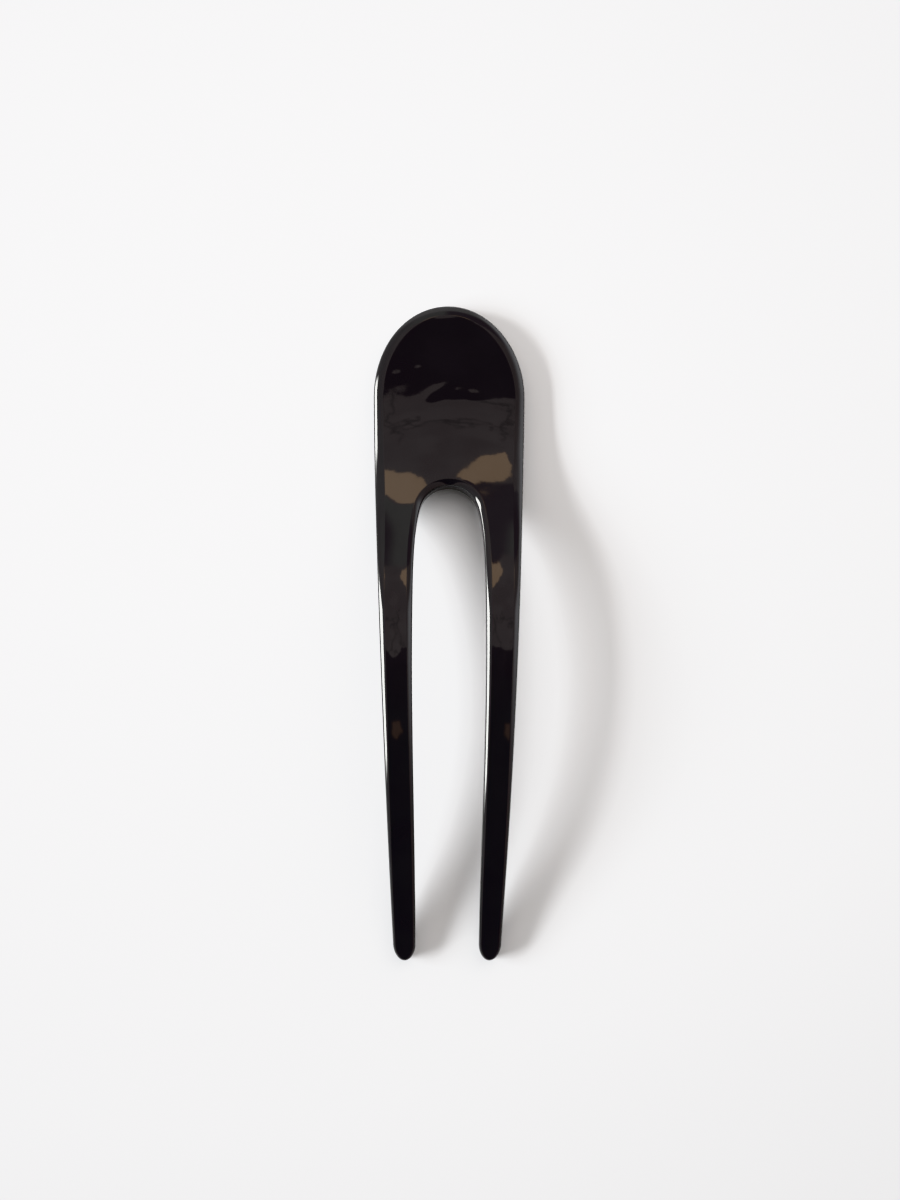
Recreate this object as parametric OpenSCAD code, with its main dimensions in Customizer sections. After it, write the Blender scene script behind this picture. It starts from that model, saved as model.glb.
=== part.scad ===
// French hair pin, cut in one piece from a flat sheet of acetate and bent warm.
// The head is a rounded plate that lies flat. Past it the sheet turns upward,
// splits into two prongs and runs in a long arch down to the prongs, whose blunt
// ends ease out towards the table.
// +Z is up, +Y points to the head, and the origin is on the table, under the
// middle of the pin.

/* [Overall] */
// Length of the pin from the head's end to the prongs' tips, as it lies
pin_length = 130; // [115:1:150]
// Width across the head
head_width = 30; // [27:0.5:36]
// Width across both prongs at their tips
tips_width = 20.7; // [19:0.1:24]

/* [Head] */
// Length of the rounded end of the head
head_round = 18.2; // [14:0.2:24]
// Distance from the head's end to the fork between the prongs
head_length = 36.6; // [30:0.2:44]

/* [Gap] */
// Radius of the arch at the fork
fork_radius = 5.8; // [4.5:0.1:6.5]
// Widest clear gap between the prongs
gap_width = 14.8; // [13.5:0.1:16]
// Clear gap between the prongs at their tips
gap_tips = 12.9; // [11.5:0.1:13.4]
// Length of the rounded end of each tip
tip_round = 3.4; // [2.4:0.1:5]

/* [Sheet] */
// Thickness of the sheet at the head
sheet = 4; // [3:0.1:5]
// Thickness of the prongs at their tips
sheet_tips = 3; // [2.2:0.1:4]

/* [Bend] */
// Length of the head that stays flat
flat_length = 17.6; // [12:0.2:24]
// Radius of the upward turn below the flat head
turn_radius = 90; // [60:1:120]
// Height of the arch, from the table to the prongs' underside
arch_height = 8.4; // [5:0.1:12]
// Length over which each prong's end eases out of the arch
ease_length = 19; // [8:1:30]
// Radius of that easing, which curves the other way
ease_radius = 300; // [200:10:600]

/* [Edges] */
// Width of the bevel round the head
bevel_head = 1.9; // [1.2:0.1:2.6]
// Width of the bevel round the fork and down the prongs
bevel_prong = 1.15; // [0.8:0.05:1.4]
// Width of the bevel at the tips
bevel_tips = 0.8; // [0.6:0.05:1]
// Length past the fork over which the outer bevel narrows
bevel_change = 22; // [10:1:40]
// Slope of the bevel
bevel_slope = 20; // [10:1:30]
// Radius that rounds the bevel over into the side
edge_radius = 0.5; // [0.3:0.05:0.6]
// Radius of the lower edge
under_radius = 0.7; // [0.3:0.05:0.8]

/* [Hidden] */

// Steps of the mesh: round the head, down its side, along a prong and round a
// tip, then across the sheet's faces and over each rounded edge.
head_steps = 16;
side_steps = 10;
prong_steps = 30;
tip_steps = 8;
face_steps = 8;
edge_steps = 3;
fork_steps = head_steps + side_steps;
half_steps = fork_steps + prong_steps + tip_steps;

// The arch at the fork is a circle up to this angle and flares out past it.
fork_sweep = 74;
// The prongs' outer sides draw in with this power of the distance.
taper_power = 1.42;
// The gap starts to close at this share of its length.
close_start = 0.28;
// The search for the arch's radius halves its span this many times.
search_steps = 40;

function smooth(t) = let (c = min(1, max(0, t))) c * c * (3 - 2 * c);

// Height of the centre of the rounding between bevel and side.
function edge_centre(thick, bevel) =
    thick - edge_radius * cos(bevel_slope)
    - (bevel - edge_radius * (1 - sin(bevel_slope))) * tan(bevel_slope);

// The bend is a flat, a turn upward, an arch over its top and down, and an easing
// at the prongs' ends. rise is the slope where turn and arch meet. fall is the
// slope where arch and easing meet: the centre of the rounded lower edge at the
// tips is then under_radius above the table.
ease_angle = ease_length / ease_radius * 180 / PI;
function rise(r) = acos(1 - arch_height / (turn_radius + r));
function fall(r) =
    let (
        back = ease_angle - under_radius / ease_radius * 180 / PI,
        inside = ease_radius - under_radius,
        level = r + ease_radius - inside * cos(back),
        aside = inside * sin(back)
    )
    acos((r + under_radius - arch_height) / norm([level, aside])) - atan2(aside, level);
function reach(r) =
    let (tip = fall(r) - ease_angle)
    flat_length + (turn_radius + r) * sin(rise(r))
    + (r + ease_radius) * sin(fall(r)) - ease_radius * sin(tip)
    + edge_centre(sheet_tips, bevel_tips) * sin(tip) + edge_radius * (1 - cos(tip));
function arch_search(low, high, n) =
    let (mid = (low + high) / 2)
    n == 0 ? mid
    : reach(mid) > pin_length ? arch_search(low, mid, n - 1)
    : arch_search(mid, high, n - 1);

arch_radius = arch_search(arch_height, pin_length * 20, search_steps);
arch_rise = rise(arch_radius);
arch_fall = fall(arch_radius);
arch_start = flat_length + turn_radius * arch_rise * PI / 180;
ease_start = arch_start + arch_radius * (arch_rise + arch_fall) * PI / 180;
blank_length = ease_start + ease_length;

// Slope, distance and height of the sheet's underside at a length s along it.
function slope(s) =
    s < flat_length ? 0
    : s < arch_start ? (s - flat_length) / turn_radius * 180 / PI
    : s < ease_start ? arch_rise - (s - arch_start) / arch_radius * 180 / PI
    : (s - ease_start) / ease_radius * 180 / PI - arch_fall;
arch_top = flat_length + (turn_radius + arch_radius) * sin(arch_rise);
function along(s) =
    s < flat_length ? s
    : s < arch_start ? flat_length + turn_radius * sin(slope(s))
    : s < ease_start ? arch_top - arch_radius * sin(slope(s))
    : arch_top + (arch_radius + ease_radius) * sin(arch_fall) + ease_radius * sin(slope(s));
function height(s) =
    s < flat_length ? 0
    : s < arch_start ? turn_radius * (1 - cos(slope(s)))
    : s < ease_start ? arch_height - arch_radius * (1 - cos(slope(s)))
    : arch_height - arch_radius * (1 - cos(arch_fall))
        - ease_radius * (cos(slope(s)) - cos(arch_fall));

// A point of the flat blank, x across, s along and h up, put where the bend
// carries it.
function bent(x, s, h) = [
    x,
    pin_length / 2 - along(s) + h * sin(slope(s)),
    height(s) + h * cos(slope(s))
];

function thickness(s) =
    sheet - (sheet - sheet_tips) * smooth((s - head_length) / (blank_length - head_length));

// Half of the width over both prongs, and half of the gap between them.
function outer_half(s) =
    let (t = max(0, s - head_round) / (blank_length - head_round))
    (head_width - (head_width - tips_width) * pow(t, taper_power)) / 2;
fork_end = head_length + fork_radius * (1 - cos(fork_sweep));
fork_side = fork_radius * sin(fork_sweep);
flare = (gap_width / 2 - fork_side) * tan(fork_sweep);
function gap_half(s) =
    let (t = (s - head_length) / (blank_length - head_length))
    (gap_width - (gap_width - gap_tips) * smooth((t - close_start) / (1 - close_start))) / 2
    - (gap_width / 2 - fork_side) * exp(-(s - fork_end) / flare);

function middle(s) = (outer_half(s) + gap_half(s)) / 2;
function prong_half(s) = (outer_half(s) - gap_half(s)) / 2;
tip_start = blank_length - tip_round;

// Length along the blank at a step down a prong, close together at its tip.
function prong_s(i) = fork_end + (tip_start - fork_end) * i / prong_steps;
function tip_s(i) = tip_start + (blank_length - tip_start) * sin(90 * i / tip_steps);

// Outline points from the head's middle line to the right tip, outer and inner.
function outer_point(i) =
    i <= head_steps
        ? [head_width / 2 * sin(90 * i / head_steps),
           head_round * (1 - cos(90 * i / head_steps))]
    : i <= fork_steps
        ? let (s = head_round + (fork_end - head_round) * (i - head_steps) / side_steps)
          [outer_half(s), s]
    : i <= fork_steps + prong_steps
        ? let (s = prong_s(i - fork_steps)) [outer_half(s), s]
    : let (j = i - fork_steps - prong_steps, s = tip_s(j))
      [middle(s) + prong_half(s) * cos(90 * j / tip_steps), s];
function inner_point(i) =
    i <= fork_steps
        ? let (a = fork_sweep * i / fork_steps)
          [fork_radius * sin(a), head_length + fork_radius * (1 - cos(a))]
    : i <= fork_steps + prong_steps
        ? let (s = prong_s(i - fork_steps)) [gap_half(s), s]
    : let (j = i - fork_steps - prong_steps, s = tip_s(j))
      [middle(s) - prong_half(s) * cos(90 * j / tip_steps), s];

function mirrored(p) = [-p[0], p[1]];
outer_right = [for (i = [0 : half_steps]) outer_point(i)];
inner_right = [for (i = [0 : half_steps]) inner_point(i)];

// The whole outline on each side, from the left tip round the head to the
// right tip. The two share their first and last points, at the tips' ends.
outer = [
    for (i = [half_steps : -1 : 1]) mirrored(outer_right[i]),
    for (i = [0 : half_steps]) outer_right[i]
];
inner = [
    for (i = [half_steps : -1 : 1]) mirrored(inner_right[i]),
    for (i = [0 : half_steps]) inner_right[i]
];
last = 2 * half_steps;

// Directions out of the material at each outline point, from its neighbours.
function turned(d, side) = side * [d[1], -d[0]] / norm(d);
function outward(line, i, side) =
    i == 0 || i == last ? [0, 1]
    : turned(line[i + 1] - line[i - 1], side);
outer_way = [for (i = [0 : last]) outward(outer, i, 1)];
inner_way = [for (i = [0 : last]) outward(inner, i, -1)];

// The bevel is wide round the head, narrow past the fork and less at the tips.
function inner_bevel(s) =
    bevel_prong + (bevel_tips - bevel_prong) * smooth((s - fork_end) / (blank_length - fork_end));
function outer_bevel(s) =
    let (t = smooth((s - head_length) / bevel_change))
    bevel_head + (inner_bevel(s) - bevel_head) * t;

// The edge of the sheet as [inset, height] from the underside to the crease.
function edge(thick, bevel) = [
    for (k = [0 : edge_steps])
        let (a = 90 * k / edge_steps)
        [under_radius * (1 - sin(a)), under_radius * (1 - cos(a))],
    for (k = [0 : edge_steps])
        let (a = 90 - (90 - bevel_slope) * k / edge_steps)
        [edge_radius * (1 - sin(a)), edge_centre(thick, bevel) + edge_radius * cos(a)],
    [bevel, thick]
];
edge_points = 2 * edge_steps + 3;

// A corner of the edge: the outline point p moved in against its way out.
function rim(p, way, bevel, k) =
    let (e = edge(thickness(p[1]), bevel)[k], q = p - way * e[0])
    [q[0], q[1], e[1]];
function outer_rim(i, k) = rim(outer[i], outer_way[i], outer_bevel(outer[i][1]), k);
function inner_rim(i, k) = rim(inner[i], inner_way[i], inner_bevel(inner[i][1]), k);

// Points of a face between the rims, on the sheet's top or its underside.
function across(i, k, t, top) =
    let (a = outer_rim(i, k), b = inner_rim(i, k), p = a + (b - a) * t)
    [p[0], p[1], top ? thickness(p[1]) : 0];

// One closed section of the sheet: up the outer edge, over the top, down the
// inner edge and back along the underside.
function section(i) = [
    for (k = [0 : edge_points - 1]) outer_rim(i, k),
    for (j = [1 : face_steps - 1]) across(i, edge_points - 1, j / face_steps, true),
    for (k = [edge_points - 1 : -1 : 0]) inner_rim(i, k),
    for (j = [face_steps - 1 : -1 : 1]) across(i, 0, j / face_steps, false)
];
ring = 2 * edge_points + 2 * (face_steps - 1);

// At the tips' ends a section folds into one edge, shared by both sides.
function folded(j) =
    j < edge_points ? j
    : j < edge_points + face_steps ? edge_points - 1
    : j < 2 * edge_points + face_steps - 1 ? 2 * edge_points + face_steps - 2 - j
    : 0;
function tip_edge(i) = [for (k = [0 : edge_points - 1]) outer_rim(i, k)];

flat_points = concat(
    tip_edge(0),
    [for (i = [1 : last - 1]) each section(i)],
    tip_edge(last)
);
function index(i, j) =
    i == 0 ? folded(j)
    : i == last ? edge_points + (last - 1) * ring + folded(j)
    : edge_points + (i - 1) * ring + j;

triangles = [
    for (i = [0 : last - 1], j = [0 : ring - 1])
        let (
            a = index(i, j),
            b = index(i, (j + 1) % ring),
            c = index(i + 1, (j + 1) % ring),
            d = index(i + 1, j)
        )
        each [[a, c, b], [a, d, c]]
];

module pin() {
    color([0.07, 0.06, 0.06])
        polyhedron(
            points = [for (p = flat_points) bent(p[0], p[1], p[2])],
            faces = [for (t = triangles)
                if (t[0] != t[1] && t[1] != t[2] && t[0] != t[2]) t],
            convexity = 6
        );
}

pin();
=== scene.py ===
import bpy
import numpy as np
from mathutils import Matrix, Vector


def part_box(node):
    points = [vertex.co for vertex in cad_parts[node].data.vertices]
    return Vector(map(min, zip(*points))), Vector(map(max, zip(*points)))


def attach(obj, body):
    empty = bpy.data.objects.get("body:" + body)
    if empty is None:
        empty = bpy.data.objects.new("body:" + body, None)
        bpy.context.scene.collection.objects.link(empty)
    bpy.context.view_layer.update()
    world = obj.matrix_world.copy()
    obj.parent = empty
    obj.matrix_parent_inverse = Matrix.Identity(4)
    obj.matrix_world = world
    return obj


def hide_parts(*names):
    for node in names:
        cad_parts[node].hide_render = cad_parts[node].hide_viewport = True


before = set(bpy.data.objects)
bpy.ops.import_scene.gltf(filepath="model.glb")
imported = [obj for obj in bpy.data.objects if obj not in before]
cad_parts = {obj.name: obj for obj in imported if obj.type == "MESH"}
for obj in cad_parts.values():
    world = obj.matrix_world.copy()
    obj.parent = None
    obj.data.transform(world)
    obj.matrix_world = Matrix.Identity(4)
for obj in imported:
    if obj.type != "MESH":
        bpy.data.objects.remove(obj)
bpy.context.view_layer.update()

# The pin itself: one piece of black acetate, sawn from flat sheet, bent warm over a
# form and tumbled until it is glossy. Its walls are square to the bent sheet, and a
# rounded shoulder with a crisp inner line runs round the upper edge.
low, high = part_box("pin")
pin_length = high.y - low.y
head_width = high.x - low.x
head_end = high.y

tips_width = 0.02112
head_round = 0.0182
head_length = 0.0366
fork_radius = 0.0058
gap_width = 0.0145
gap_tips = 0.01257
tip_round = 0.0034
sheet = 0.004
sheet_tips = 0.003
flat_length = 0.0176
turn_radius = 0.090
arch_height = 0.0084
ease_length = 0.019
ease_radius = 0.300
under_radius = 0.0007

# The shoulder leaves the face at one tilt and steepens to another, where a tight
# round takes it into the side. It is wide round the head and narrow past the fork.
# The growth says how late it steepens; each change is a stretch along the pin.
shoulder_head = 0.0019
shoulder_prong = 0.0013
shoulder_tips = 0.0005
shoulder_change = 0.022
edge_radius = 0.0008
tilt_inner = np.radians(12)
tilt_outer = np.radians(39)
growth_head = 2.1
growth_turn = 4.0
growth_prong = 0.67
outer_change = (0.028, 0.038)
inner_change = (0.040, 0.046)
prong_change = (0.052, 0.062)
crease_width = 0.00008

fork_sweep = np.radians(74)
taper_power = 1.42
close_start = 0.33

HEAD_STEPS = 96
SIDE_STEPS = 44
PRONG_STEPS = 168
TIP_STEPS = 22
FACE_STEPS = 40
UNDER_STEPS = 12
UNDER_ROUND_POINTS = 6
EDGE_ROUND_POINTS = 8
WALL_SHARES = (0.25, 0.5, 0.75)


def eased(t):
    """3 t^2 - 2 t^3, with t held between 0 and 1."""
    t = np.clip(t, 0, 1)
    return t * t * (3 - 2 * t)


SHOULDER_STEPS = 16
shoulder_share = np.linspace(0, 1, SHOULDER_STEPS + 1)


def shoulder_drop(growth):
    """Height lost over the shoulder as a share of its width, at even steps from the
    inner line outwards: the running sum of the tangent of its tilt, which steepens
    from inner to outer by the share of the width to the power of growth."""
    share = shoulder_share ** np.asarray(growth)[..., None]
    tilt = tilt_inner + (tilt_outer - tilt_inner) * share
    middle = (np.tan(tilt[..., 1:]) + np.tan(tilt[..., :-1])) / 2
    return np.concatenate([tilt[..., :1] * 0, np.cumsum(middle, -1) / SHOULDER_STEPS], -1)


def eased_over(s, stretch):
    """An eased step from 0 at the stretch's start to 1 at its end."""
    start, end = stretch
    return eased((s - start) / (end - start))


def growth_along(s, first, change):
    """The growth of the shoulder's tilt along the pin: from first at the head to that
    of the turn, in one eased step, and on to that of the prongs, in another."""
    turn = first + (growth_turn - first) * eased_over(s, change)
    return turn + (growth_prong - turn) * eased_over(s, prong_change)


def edge_centre(thick, shoulder, growth):
    """Height of the centre of the tight round: the thickness, less what the shoulder
    drops over its width, less the round's radius times the cosine of its tilt."""
    width = shoulder - edge_radius * (1 - np.sin(tilt_outer))
    return thick - width * shoulder_drop(growth)[..., -1] - edge_radius * np.cos(tilt_outer)


def rise(radius):
    """Slope where the upward turn meets the arch: both drop away from their common
    tangent, so 1 - cos(slope) is the arch's height over the sum of the radii."""
    return np.arccos(1 - arch_height / (turn_radius + radius))


def fall(radius):
    """Slope where the arch meets the easing, which curves back up towards the tips: it
    leaves the centre of their rounded lower edge one under radius above the table."""
    back = (ease_length - under_radius) / ease_radius
    level = radius + ease_radius - (ease_radius - under_radius) * np.cos(back)
    aside = (ease_radius - under_radius) * np.sin(back)
    share = (radius + under_radius - arch_height) / np.hypot(level, aside)
    return np.arccos(share) - np.arctan2(aside, level)


def length_with(radius):
    """Length of the pin as it lies: flat, turn, arch and easing, each radius times the
    sine of its slope, and the upper edge's lean past the tips."""
    tip = fall(radius) - ease_length / ease_radius
    lean = edge_centre(sheet_tips, shoulder_tips, growth_prong) * np.sin(tip)
    lean += edge_radius * (1 - np.cos(tip)) - ease_radius * np.sin(tip)
    arc = (turn_radius + radius) * np.sin(rise(radius))
    return flat_length + arc + (radius + ease_radius) * np.sin(fall(radius)) + lean


# The arch's radius, halved in on until the pin has its length.
arch_radius, arch_step = pin_length, pin_length / 2
while arch_step > 1e-9:
    arch_radius += arch_step if length_with(arch_radius) < pin_length else -arch_step
    arch_step /= 2
arch_rise, arch_fall = rise(arch_radius), fall(arch_radius)
arch_start = flat_length + turn_radius * arch_rise
ease_start = arch_start + arch_radius * (arch_rise + arch_fall)
blank_length = ease_start + ease_length


def bent(x, s, h):
    """Carries a point of the flat blank, x across, s along and h up, to its place on
    the bent sheet: along the curve to s, then h along the curve's own normal."""
    part = [s < flat_length, s < arch_start, s < ease_start]
    slope = np.select(part, [
        0, (s - flat_length) / turn_radius, arch_rise - (s - arch_start) / arch_radius,
    ], (s - ease_start) / ease_radius - arch_fall)
    top = flat_length + (turn_radius + arch_radius) * np.sin(arch_rise)
    foot = top + (arch_radius + ease_radius) * np.sin(arch_fall)
    along = np.select(part, [
        s, flat_length + turn_radius * np.sin(slope), top - arch_radius * np.sin(slope),
    ], foot + ease_radius * np.sin(slope))
    low_end = arch_height - arch_radius * (1 - np.cos(arch_fall))
    up = np.select(part, [
        0, turn_radius * (1 - np.cos(slope)), arch_height - arch_radius * (1 - np.cos(slope)),
    ], low_end - ease_radius * (np.cos(slope) - np.cos(arch_fall)))
    y = head_end - along + h * np.sin(slope)
    return np.stack([x, y, up + h * np.cos(slope)], -1)


def thickness(s):
    """Full from the head's end to the fork, then eased down to the tips."""
    share = eased((s - head_length) / (blank_length - head_length))
    return sheet + (sheet_tips - sheet) * share


def outer_half(s):
    """Half of the width over both prongs: the head's, less a power of the distance."""
    t = np.clip(s - head_round, 0, None) / (blank_length - head_round)
    return (head_width + (tips_width - head_width) * t**taper_power) / 2


fork_side = fork_radius * np.sin(fork_sweep)
fork_end = head_length + fork_radius * (1 - np.cos(fork_sweep))
flare = (gap_width / 2 - fork_side) * np.tan(fork_sweep)


def gap_half(s):
    """Half of the gap: it flares out from the fork's arch as an exponential and closes
    towards the tips as an eased step."""
    t = (s - head_length) / (blank_length - head_length)
    closed = (gap_tips - gap_width) * eased((t - close_start) / (1 - close_start))
    left = (gap_width / 2 - fork_side) * np.exp(-(s - fork_end) / flare)
    return (gap_width + closed) / 2 - left


def outlines():
    """The right half's outer and inner outline, in step, as rows of (x, s): an ellipse
    and an arc round the head and the fork, the two sides of the prong, and the halves
    of its tip, which is the prong's width times a cosine."""
    turn = np.linspace(0, np.pi / 2, HEAD_STEPS + 1)
    head = [head_width / 2 * np.sin(turn), head_round * (1 - np.cos(turn))]
    side = np.linspace(head_round, fork_end, SIDE_STEPS + 1)[1:]
    arc = np.linspace(0, fork_sweep, HEAD_STEPS + SIDE_STEPS + 1)
    fork = [fork_radius * np.sin(arc), head_length + fork_radius * (1 - np.cos(arc))]
    tip_start = blank_length - tip_round
    prong = np.linspace(fork_end, tip_start, PRONG_STEPS + 1)[1:]
    round_tip = np.linspace(0, np.pi / 2, TIP_STEPS + 1)[1:]
    tip = tip_start + tip_round * np.sin(round_tip)
    middle = (outer_half(tip) + gap_half(tip)) / 2
    half = (outer_half(tip) - gap_half(tip)) / 2 * np.cos(round_tip)
    outer = np.array([
        np.concatenate([head[0], outer_half(side), outer_half(prong), middle + half]),
        np.concatenate([head[1], side, prong, tip]),
    ]).T
    inner = np.array([
        np.concatenate([fork[0], gap_half(prong), middle - half]),
        np.concatenate([fork[1], prong, tip]),
    ]).T
    return outer, inner


def outward(line, side):
    """Unit directions out of the material along an outline: its tangent by arc length,
    turned a quarter. The first and last point lie on tips and point along the pin."""
    step = np.linalg.norm(np.diff(line, axis=0), axis=1)
    arc = np.concatenate([[0], np.cumsum(step)])
    run = np.stack([np.gradient(line[:, 0], arc), np.gradient(line[:, 1], arc)], -1)
    way = side * np.stack([run[:, 1], -run[:, 0]], -1)
    way[0] = way[-1] = (0, 1)
    return way / np.linalg.norm(way, axis=1, keepdims=True)


def edge_profile(thick, shoulder, growth):
    """Inset and height up the edge of each section: a quarter round from the underside,
    the side, the tight round, then the shoulder up to its inner line and a hair past
    it. Both are arrays of sections by points."""
    quarter = np.linspace(0, np.pi / 2, UNDER_ROUND_POINTS)
    under_in = under_radius * (1 - np.sin(quarter))
    under_up = under_radius * (1 - np.cos(quarter))
    centre = edge_centre(thick, shoulder, growth)[:, None]
    wall = np.array(WALL_SHARES)
    wall_up = under_radius + (centre - under_radius) * wall
    roll = np.linspace(np.pi / 2, tilt_outer, EDGE_ROUND_POINTS)
    roll_in = edge_radius * (1 - np.sin(roll))
    roll_up = centre + edge_radius * np.cos(roll)
    share = shoulder_share[::-1][1:]
    width = shoulder[:, None] - edge_radius * (1 - np.sin(tilt_outer))
    shoulder_in = shoulder[:, None] - width * share
    shoulder_up = thick[:, None] - width * shoulder_drop(growth)[:, ::-1][:, 1:]
    ones = np.ones((len(thick), 1))
    past = shoulder[:, None] + crease_width
    inset = [ones * under_in, ones * wall * 0, ones * roll_in, shoulder_in, past]
    up = [ones * under_up, wall_up, roll_up, shoulder_up, thick[:, None]]
    return np.concatenate(inset, 1), np.concatenate(up, 1)


def rim(line, way, shoulder, growth):
    """The edge's points along an outline: each outline point moved in against its way
    out by the profile's inset, at the profile's height."""
    inset, up = edge_profile(thickness(line[:, 1]), shoulder, growth)
    flat = line[:, None, :] - way[:, None, :] * inset[:, :, None]
    return np.concatenate([flat, up[:, :, None]], 2)


def across(a, b, steps):
    """Points in between two rims, evenly from a to b, ends left out."""
    t = np.linspace(0, 1, steps + 1)[1:-1, None]
    return a[:, None, :] + (b - a)[:, None, :] * t


# Nothing that is bent warm and tumbled comes out dead flat. Where the sheet turns, its
# face bows a little across the head, and where it arches, each prong's face hollows
# a little. Tumbling leaves a waviness of some microns over the whole face.
head_sway = 0.00025
head_bow = 4.4
bow_level = 0.0095
prong_hollow = -13.0
left_lean, right_lean = np.radians(0.7), np.radians(0.3)
dent_place = (-0.0105, 0.043)
dent_size = (0.0070, 0.0065)
dent_depth = 0.00019
wave_seed = 11
wave_count = 30
wave_lengths = (0.0045, 0.015)
wave_slope = np.radians(0.05)
edge_wave = 0.25
prong_blend = 0.01056
dip_depth = 0.00010
dip_range = (0.0116, 0.0236)
saddle_depth = 0.00021
saddle_place, saddle_length = 0.049, 0.008


def bow(x, s):
    """Height of the face over flat: minus half the bow times x squared on the head,
    growing with the turn, and on each prong the same about its middle, with a lean.
    The dent and the saddle are bell curves, and the dip fades out along the head."""
    turn = eased((s - flat_length) / (head_length - flat_length))
    prong = eased((s - head_length) / prong_blend)
    head = -head_bow * (x**2 - bow_level**2) / 2 * turn * (1 - prong)
    gap = gap_half(np.maximum(s, fork_end))
    middle = (outer_half(s) + gap) / 2
    half = (outer_half(s) - gap) / 2
    off = np.abs(x) - middle
    lean = np.where(x < 0, left_lean, right_lean) * (x - np.sign(x) * middle)
    dent_x, dent_s = (x - dent_place[0]) / dent_size[0], (s - dent_place[1]) / dent_size[1]
    dent = dent_depth * np.exp(-(dent_x**2 + dent_s**2) / 2)
    dip = dip_depth * (1 - eased_over(s, dip_range))
    saddle = saddle_depth * np.exp(-(((s - saddle_place) / saddle_length) ** 2))
    return head + (-prong_hollow * (off**2 - half**2) / 2 + lean) * prong - dent - dip - saddle


def waves(x, s):
    """Sum of plane waves of random direction and phase. Each has the same slope, so
    a wave's height is its slope times its length over a full turn."""
    rng = np.random.default_rng(wave_seed)
    total = np.zeros_like(x)
    for _ in range(wave_count):
        length = np.exp(rng.uniform(*np.log(wave_lengths)))
        heading, phase = rng.uniform(0, 2 * np.pi, 2)
        turns = 2 * np.pi / length
        along_wave = x * np.cos(heading) + s * np.sin(heading)
        total += np.sin(along_wave * turns + phase) / turns
    return total * wave_slope * np.sqrt(2 / wave_count) * 2


def pin_mesh():
    """The whole pin as one closed surface. Each station has a ring of points: up the
    outer edge, over the face, down the inner edge and back along the underside. At the
    two tips the ring folds into one upright edge that both sides share."""
    right_outer, right_inner = outlines()
    mirror = np.array([-1, 1])
    outer = np.concatenate([right_outer[:0:-1] * mirror, right_outer])
    inner = np.concatenate([right_inner[:0:-1] * mirror, right_inner])

    def inner_shoulder(s):
        share = eased((s - fork_end) / (blank_length - fork_end))
        return shoulder_prong + (shoulder_tips - shoulder_prong) * share

    change = eased((outer[:, 1] - head_length) / shoulder_change)
    outer_shoulder = shoulder_head + (inner_shoulder(outer[:, 1]) - shoulder_head) * change
    outer_growth = growth_along(outer[:, 1], growth_head, outer_change)
    inner_growth = growth_along(inner[:, 1], growth_prong, inner_change)
    a = rim(outer, outward(outer, 1), outer_shoulder, outer_growth)
    b = rim(inner, outward(inner, -1), inner_shoulder(inner[:, 1]), inner_growth)
    face = across(a[:, -1], b[:, -1], FACE_STEPS)
    face[..., 2] = thickness(face[..., 1])
    below = across(b[:, 0], a[:, 0], UNDER_STEPS)
    ring = np.concatenate([a, face, b[:, ::-1], below], 1)

    x, s, h = ring[..., 0], ring[..., 1], ring[..., 2]
    share = eased((h / thickness(s) - 0.5) * 2)
    inside = np.zeros(ring.shape[1])
    inside[a.shape[1] - 1:a.shape[1] + FACE_STEPS] = 1
    wavy = edge_wave + (1 - edge_wave) * inside
    h = h + bow(x, s) * share + waves(x, s) * share * wavy
    places = bent(x - head_sway * eased(1 - s / head_round), s, h)

    stations, around = ring.shape[:2]
    edge = a.shape[1]
    j = np.arange(around)
    folded = np.where(j < edge, j, edge - 1)
    down = 2 * edge + FACE_STEPS - 2 - j
    folded = np.where(j >= edge + FACE_STEPS - 1, np.clip(down, 0, edge - 1), folded)
    index = np.arange(stations * around).reshape(stations, around)
    index[0] = index[0, folded]
    index[-1] = index[-1, folded]

    quads = np.stack([
        index[:-1], index[1:], np.roll(index[1:], -1, 1), np.roll(index[:-1], -1, 1)
    ], -1).reshape(-1, 4)
    used, quads = np.unique(quads, return_inverse=True)
    quads = quads.reshape(-1, 4)
    points = places.reshape(-1, 3)[used]

    faces = []
    for quad in quads.tolist():
        corners = list(dict.fromkeys(quad))
        if len(corners) > 2:
            faces.append(corners)
    mesh = bpy.data.meshes.new("pin_acetate")
    mesh.from_pydata(points.tolist(), [], faces)
    mesh.update()
    mesh.shade_smooth()
    return mesh


class Link:
    """An output of a shader node. Python's operators on it add Math nodes, so that
    shader sums read as sums."""

    def __init__(self, graph, socket):
        self.graph = graph
        self.socket = socket

    def math(self, operation, *others):
        sockets = dict(enumerate([self, *others]))
        return self.graph.node("ShaderNodeMath", {"operation": operation}, sockets)[0]

    def __add__(self, other):
        return self.math("ADD", other)

    def __sub__(self, other):
        return self.math("SUBTRACT", other)

    def __mul__(self, other):
        return self.math("MULTIPLY", other)

    def __truediv__(self, other):
        return self.math("DIVIDE", other)

    def __pow__(self, other):
        return self.math("POWER", other)

    def __rsub__(self, other):
        return (self * -1) + other

    def __rtruediv__(self, other):
        return self**-1 * other

    __radd__ = __add__
    __rmul__ = __mul__

    def step(self, start, end):
        """0 below start, 1 above end and smooth in between."""
        sockets = {"Value": self, "From Min": start, "From Max": end}
        settings = {"interpolation_type": "SMOOTHSTEP"}
        return self.graph.node("ShaderNodeMapRange", settings, sockets)[0]


class Made:
    """A node that was added; its outputs come out by number or name as Links."""

    def __init__(self, graph, node):
        self.graph = graph
        self.node = node

    def __getitem__(self, key):
        return Link(self.graph, self.node.outputs[key])


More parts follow.
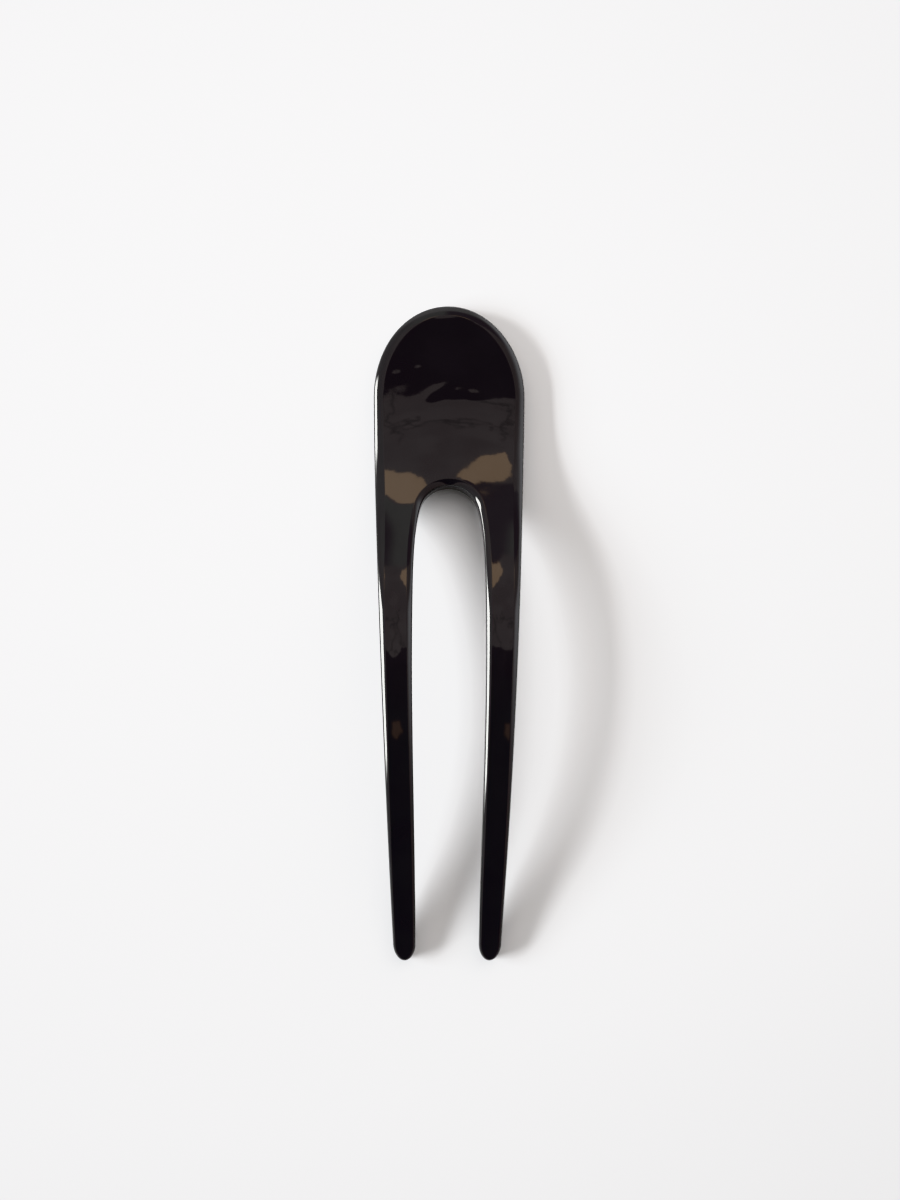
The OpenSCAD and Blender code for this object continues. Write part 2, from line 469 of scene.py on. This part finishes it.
class Graph:
    """A node tree, and the one method that adds to it."""

    def __init__(self, tree):
        self.tree = tree
        tree.nodes.clear()

    def node(self, kind, settings, sockets):
        """Adds a node: settings first, then a value or a Link for each socket."""
        node = self.tree.nodes.new(kind)
        for name, value in settings.items():
            setattr(node, name, value)
        for key, value in sockets.items():
            if isinstance(value, Link):
                self.tree.links.new(value.socket, node.inputs[key])
            else:
                node.inputs[key].default_value = value
        return Made(self, node)


# Shallow bumps left by the buffing wheel, most of them where the turn begins: the
# place across and along, length, width, heading in degrees and height.
buffed = (
    (-0.0021, 0.0170, 0.0034, 0.0009, 30, 0.0000200),
    (-0.0103, 0.0138, 0.0011, 0.0008, 10, 0.0000180),
    (-0.0061, 0.01275, 0.0011, 0.0007, 10, 0.0000210),
    (0.0014, 0.0171, 0.0012, 0.0007, 10, 0.0000190),
    (0.0048, 0.0175, 0.0012, 0.0006, -5, 0.0000160),
    (-0.0098, 0.0187, 0.0032, 0.0018, 0, 0.0000260),
    (-0.0108, 0.0709, 0.0009, 0.0016, 0, 0.0000450),
    (0.0110, 0.0722, 0.0006, 0.0018, 0, 0.0000500),
)

acetate_black = (0.0129, 0.0128, 0.0132)
acetate_cloud = (0.0151, 0.0150, 0.0154)
acetate_dust = (0.11, 0.11, 0.105)
acetate_index = 1.48
polish, smeared, dusty = 0.028, 0.02, 0.5
ripple_height, dust_height = 0.000003, 0.00002


def black_acetate():
    """Black acetate with a mirror polish: a faint cloudiness in the black, handling
    that dulls the gloss in soft patches, hair-fine polishing marks and a few specks
    of dust."""
    material = bpy.data.materials.new("black_acetate")
    material.use_nodes = True
    graph = Graph(material.node_tree)
    place = graph.node("ShaderNodeTexCoord", {}, {})["Object"]

    cloud_sockets = {"Vector": place, "Scale": 90, "Detail": 3, "Roughness": 0.55}
    cloud = graph.node("ShaderNodeTexNoise", {}, cloud_sockets)["Fac"]
    dust_sockets = {"Vector": place, "Scale": 260, "Randomness": 1}
    dust = graph.node("ShaderNodeTexVoronoi", {}, dust_sockets)
    pick = graph.node("ShaderNodeTexWhiteNoise", {}, {"Vector": dust["Position"]})["Value"]
    speck = (1 - dust["Distance"].step(0.025, 0.05)) * pick.step(0.93, 0.94)

    tone = mix_colours(graph, cloud.step(0.35, 0.7), acetate_black, acetate_cloud)
    tone = mix_colours(graph, speck, tone, acetate_dust)

    smear_sockets = {"Vector": place, "Scale": 40, "Detail": 2}
    smear = graph.node("ShaderNodeTexNoise", {}, smear_sockets)["Fac"]
    rough = polish + smear.step(0.5, 0.8) * smeared + speck * dusty

    ripple_sockets = {"Vector": place, "Scale": 520, "Detail": 2, "Roughness": 0.4}
    ripple = graph.node("ShaderNodeTexNoise", {}, ripple_sockets)["Fac"]
    height = ripple * ripple_height + speck * dust_height
    for across_at, along_at, length, width, heading, tall in buffed:
        off = graph.node("ShaderNodeMapping", {"vector_type": "TEXTURE"}, {
            "Vector": place, "Location": (across_at, head_end - along_at, sheet),
            "Rotation": (0, 0, np.radians(heading)), "Scale": (length, width, 1),
        })["Vector"]
        lengths = graph.node("ShaderNodeVectorMath", {"operation": "LENGTH"}, {"Vector": off})
        far = lengths["Value"]
        height = height + (far * far * -0.5).math("EXPONENT") * tall
    bump_sockets = {"Height": height, "Strength": 1.0, "Distance": 1.0}
    bump = graph.node("ShaderNodeBump", {}, bump_sockets)["Normal"]

    finish = graph.node("ShaderNodeBsdfPrincipled", {}, {
        "Base Color": tone, "Roughness": rough, "Normal": bump, "IOR": acetate_index,
    })
    graph.node("ShaderNodeOutputMaterial", {}, {"Surface": finish["BSDF"]})
    return material


def mix_colours(graph, factor, first, second):
    """A colour between two, by a factor from 0 to 1."""
    ends = [c if isinstance(c, Link) else (*c, 1) for c in (first, second)]
    sockets = {0: factor, 6: ends[0], 7: ends[1]}
    return graph.node("ShaderNodeMix", {"data_type": "RGBA"}, sockets)[2]


pin = bpy.data.objects.new("pin_acetate", pin_mesh())
bpy.context.scene.collection.objects.link(pin)
pin.data.materials.append(black_acetate())
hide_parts("pin")
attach(pin, "root")


# The table: a plain matt white board, far larger than the view. Its colour holds a painted
# light falloff: the white fades to a pale grey with the distance from where the light is
# aimed. This is painted shade, not a tone that the board has.
table_half = 1.6
table_white = (0.86, 0.86, 0.87)
# The grey of the painted shade far from the light, and the middle and spread of the painted
# light falloff.
table_painted_dim = (0.30, 0.30, 0.305)
painted_light_middle = (-0.024, 0.0565)
painted_light_spread = (0.224, 0.194)
table_mesh = bpy.data.meshes.new("table")
corner = [(-1, -1, 0), (1, -1, 0), (1, 1, 0), (-1, 1, 0)]
table_mesh.from_pydata([tuple(table_half * c for c in p) for p in corner], [], [(0, 1, 2, 3)])
table = bpy.data.objects.new("table", table_mesh)
bpy.context.scene.collection.objects.link(table)
table_material = bpy.data.materials.new("matt_white")
table_material.use_nodes = True
table_graph = Graph(table_material.node_tree)
table_place = table_graph.node("ShaderNodeTexCoord", {}, {})["Object"]
table_parts = table_graph.node("ShaderNodeSeparateXYZ", {}, {"Vector": table_place})
falloff_side = (table_parts["X"] - painted_light_middle[0]) / painted_light_spread[0]
falloff_along = (table_parts["Y"] - painted_light_middle[1]) / painted_light_spread[1]
# Painted shade: the share of the light's falloff at each point, from 0 at its middle towards 1
# far away.
painted_falloff = 1 - 1 / (falloff_side * falloff_side + falloff_along * falloff_along + 1)
table_white_with_painted_falloff = mix_colours(table_graph, painted_falloff, table_white, table_painted_dim)
table_finish = table_graph.node("ShaderNodeBsdfDiffuse", {}, {"Color": table_white_with_painted_falloff})
table_graph.node("ShaderNodeOutputMaterial", {}, {"Surface": table_finish["BSDF"]})
table_mesh.materials.append(table_material)


# The light: one soft box at the left, and the pale room round it. A polished black
# face shows little but its surroundings, so the room that it mirrors has the parts
# that a studio has: a dark place behind the lens, a grey ceiling of panels, warm
# boards, a bright wall at the right and the soft box's own face. Only mirrored rays
# see them. What lights the table is plain and white.
key_distance = 3.0
key_zenith = np.radians(68.5)
key_turn = np.radians(-4)
key_size = (0.95, 2.0)
key_power = 248
key = bpy.data.lights.new("soft_box", "AREA")
key.shape = "RECTANGLE"
key.size, key.size_y = key_size
key.energy = key_power
key.color = (0.967, 0.988, 1.0)
key_object = bpy.data.objects.new("soft_box", key)
key_place = Vector((
    -np.sin(key_zenith) * np.cos(key_turn),
    np.sin(key_zenith) * np.sin(key_turn),
    np.cos(key_zenith),
)) * key_distance


def placed(place, side, up, back):
    """The matrix of a thing at a place, with the directions of its own x, y and z."""
    return Matrix.Translation(place) @ Matrix((side, up, back)).transposed().to_4x4()


key_back = key_place.normalized()
key_side = Vector((0, 1, 0)).cross(key_back).normalized()
key_up = key_back.cross(key_side)
key_object.matrix_world = placed(key_place, key_side, key_up, key_back)
key_object.visible_glossy = False
bpy.context.scene.collection.objects.link(key_object)

world = bpy.data.worlds.new("room")
bpy.context.scene.world = world
world.use_nodes = True
room = Graph(world.node_tree)
toward = room.node("ShaderNodeTexCoord", {}, {})["Generated"]
parts = room.node("ShaderNodeSeparateXYZ", {}, {"Vector": toward})
degrees = 180 / np.pi
side_angle = parts["X"].math("ARCTAN2", parts["Z"]) * degrees
head_angle = parts["Y"].math("ARCSINE") * degrees


def ragged(scale, amount):
    """Noise over directions, from minus amount to amount in degrees."""
    sockets = {"Vector": toward, "Scale": scale, "Detail": 2, "Roughness": 0.5}
    return (room.node("ShaderNodeTexNoise", {}, sockets)["Fac"] - 0.5) * (2 * amount)


def board(corners, soft):
    """1 inside a flat board seen in the room, given by its corners as pairs of side
    and head angle, turning left: the product of a soft step across each edge."""
    inside = 1
    for (x0, y0), (x1, y1) in zip(corners, corners[1:] + corners[:1]):
        length = np.hypot(x1 - x0, y1 - y0)
        across = ((y0 - y1) / length, (x1 - x0) / length)
        reach = side_wavy * across[0] + head_wavy * across[1]
        start = x0 * across[0] + y0 * across[1]
        inside = inside * reach.step(start - soft, start + soft)
    return inside


def scaled(colour, factor):
    """A colour times a factor."""
    sockets = {"Vector": colour, "Scale": factor}
    return room.node("ShaderNodeVectorMath", {"operation": "SCALE"}, sockets)["Vector"]


side_wavy = side_angle + ragged(45, 0.5)
head_wavy = head_angle + ragged(48, 0.5)

grey_ceiling = (0.98, 0.87, 0.88)
beyond_left, beyond_right = (0.96, 0.94, 0.92), (0.42, 0.34, 0.40)
left_wall = (0.74, 0.68, 0.69)
right_wall = (2.6, 2.6, 2.7)
far_end = (1.4, 1.35, 1.35)
dark_lens = (0.090, 0.045, 0.080)
dark_behind = (0.050, 0.030, 0.060)
warm_board = (3.2, 2.35, 1.7)
dim_board = (0.73, 0.50, 0.41)
box_face = (33, 33, 32)
fill_white = (1.05, 1.01, 0.98)
backdrop = (1.1, 1.1, 1.1)

# The ceiling's panels meet in a bowed joint across, and in leaning ones that run down
# from it, by their lean, the head angle they lean about and their side angle there.
joint_middle, joint_top, joint_bow = 1.6, 12.9, 0.33
joint_tone = 0.55
upright_joints = ((0.25, 8, 0.5), (-0.37, 7.5, -2.6))
side_off = side_angle - joint_middle
joint = head_angle + side_off * side_off * joint_bow + ragged(36, 5) - joint_top
joint = joint.math("ABSOLUTE")
for lean, about, aside in upright_joints:
    upright = side_angle + (head_angle - about) * lean + aside + ragged(40, 1.2)
    below = upright.math("ABSOLUTE") * 2.5 + head_angle.step(14, 17)
    joint = joint.math("MINIMUM", below)
mottle_sockets = {"Vector": toward, "Scale": 13, "Detail": 1}
mottle = room.node("ShaderNodeTexNoise", {}, mottle_sockets)["Fac"]
panel_tone = 0.93 + mottle.step(0.4, 0.6) * 0.12
panel_tone = panel_tone * (joint_tone + joint.step(0.12, 0.60) * (1 - joint_tone))
panels = scaled(grey_ceiling, panel_tone)

# Past the panels' ragged end the ceiling is darker on the right. Farther out are the
# left wall, the far end of the room and the bright right wall.
beyond = mix_colours(room, side_angle.step(-2, 3), beyond_left, beyond_right)
panels_end = (head_wavy + side_angle.step(2, 5) * 1.3).step(25.6, 26.4)
seen = mix_colours(room, panels_end, panels, beyond)
seen = mix_colours(room, 1 - side_angle.step(-34, -16), seen, left_wall)
seen = mix_colours(room, head_angle.step(36, 50), seen, far_end)
wall = side_angle.step(28, 64) * head_angle.step(-22, 14)
seen = mix_colours(room, wall * (1 - head_angle.step(45, 70)), seen, right_wall)

# The dark place behind the lens, and the boards.
lens = (1 - head_wavy.step(6.2, 6.4)) * (1 - side_angle.math("ABSOLUTE").step(13, 17))
dark = mix_colours(room, head_angle.step(-8, 4), dark_behind, dark_lens)
seen = mix_colours(room, lens, seen, dark)
boards = (
    (dim_board, 0.35, [
        (-2.4, -9.6), (-0.8, -11.0), (0.6, -10.2), (0.6, -7.8), (-1.6, -7.6),
    ]),
    (warm_board, 0.1, [
        (-8.5, 19.0), (-5.2, 19.9), (-2.9, 22.9), (-2.4, 24.0), (-3.2, 25.4), (-8.5, 25.8),
    ]),
    (warm_board, 0.1, [
        (2.2, 23.9), (6.4, 17.6), (8.9, 20.1), (9.3, 23.0), (8.5, 24.0), (5.6, 24.75),
        (3.6, 25.2),
    ]),
)
for board_tone, soft, corners in boards:
    seen = mix_colours(room, board(corners, soft), seen, board_tone)

# The soft box's face, brightest of all.
box_high = side_angle.step(-84, -78) * (1 - side_angle.step(-60, -54))
box_wide = head_angle.step(-16, -11) * (1 - head_angle.step(10, 15))
seen = mix_colours(room, box_high * box_wide, seen, box_face)

# What lights the table instead grows to the right and towards the head's end.
fill_side = 0.55 + side_angle.step(-20, 40) * 0.46
fill_head = 0.30 + head_angle.step(-10, 50) * 2.44
fill = scaled(fill_white, fill_side * fill_head)
rays = room.node("ShaderNodeLightPath", {}, {})
seen = mix_colours(room, rays["Is Glossy Ray"], fill, seen)
seen = mix_colours(room, rays["Is Camera Ray"], seen, backdrop)
both = room.node("ShaderNodeBackground", {}, {"Color": seen, "Strength": 1.0})
room.node("ShaderNodeOutputWorld", {}, {"Surface": both["Background"]})


# The camera: straight over the table, a hair to the left of upright, with the pin a
# little above the middle of a frame that is 900 by 1200 pixels.
pixels_high = 1200
pixels_per_metre = 5012
view_distance = 0.60
view_tilt = np.radians(-1.4)
view_roll = np.radians(-0.206)
view_centre = Vector((0.00039, 0.00666, 0))
camera = bpy.data.cameras.new("camera")
camera.sensor_width = 36
camera.lens = camera.sensor_width * view_distance * pixels_per_metre / pixels_high
camera_object = bpy.data.objects.new("camera", camera)
view_back = Vector((np.sin(view_tilt), 0, np.cos(view_tilt)))
view_up = Vector((np.sin(view_roll), np.cos(view_roll), 0))
view_side = view_up.cross(view_back).normalized()
view_up = view_back.cross(view_side)
view_place = view_centre + view_back * view_distance
camera_object.matrix_world = placed(view_place, view_side, view_up, view_back)
bpy.context.scene.collection.objects.link(camera_object)
bpy.context.scene.camera = camera_object
bpy.context.scene.view_settings.view_transform = "Khronos PBR Neutral"
